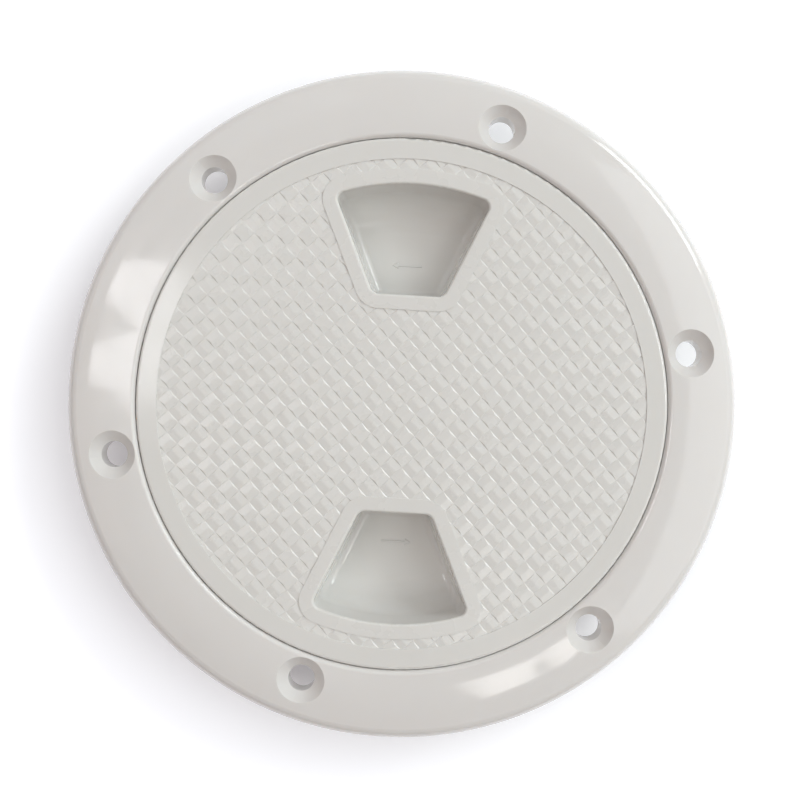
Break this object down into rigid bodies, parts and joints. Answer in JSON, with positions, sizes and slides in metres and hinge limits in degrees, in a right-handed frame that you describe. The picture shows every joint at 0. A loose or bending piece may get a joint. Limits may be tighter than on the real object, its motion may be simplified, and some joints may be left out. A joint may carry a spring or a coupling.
{
  "type": "deck inspection plate",
  "caption": "Round flush deck plate whose threaded lid with a woven non-skid top and finger recesses screws out of a flanged collar ring.",
  "frame": {"origin": "on the ring's axis, in the plane of the deck that the flange's underside rests on", "axes": "+Z out of the deck along the lid's turning axis, +Y through the closed lid's two finger recesses"},
  "size_m": [0.1428, 0.1428, 0.0206],
  "materials": {
    "ring_plastic": "glossy white moulding",
    "lid_plastic": "glossy white moulding with a woven non-skid field",
    "seal_rubber": "black rubber"
  },
  "bodies": {
    "ring": {"deck_ring": "ring_plastic"},
    "seal": {"o_ring_seal": "seal_rubber"},
    "lid": {"screw_lid": "lid_plastic"}
  },
  "joints": [
    {"name": "lid_rise", "type": "slide", "parent": "ring", "child": "seal", "axis": [0, 0, 1], "range_m": [0, 0.01]},
    {"name": "lid_turn", "type": "hinge", "parent": "seal", "child": "lid", "pos_m": [0, 0, 0], "axis": [0, 0, 1], "range_deg": [0, 900]}
  ],
  "couplings": [
    {"joint": "lid_rise", "follows": "lid_turn", "m_per_rad": 0.00063662}
  ]
}
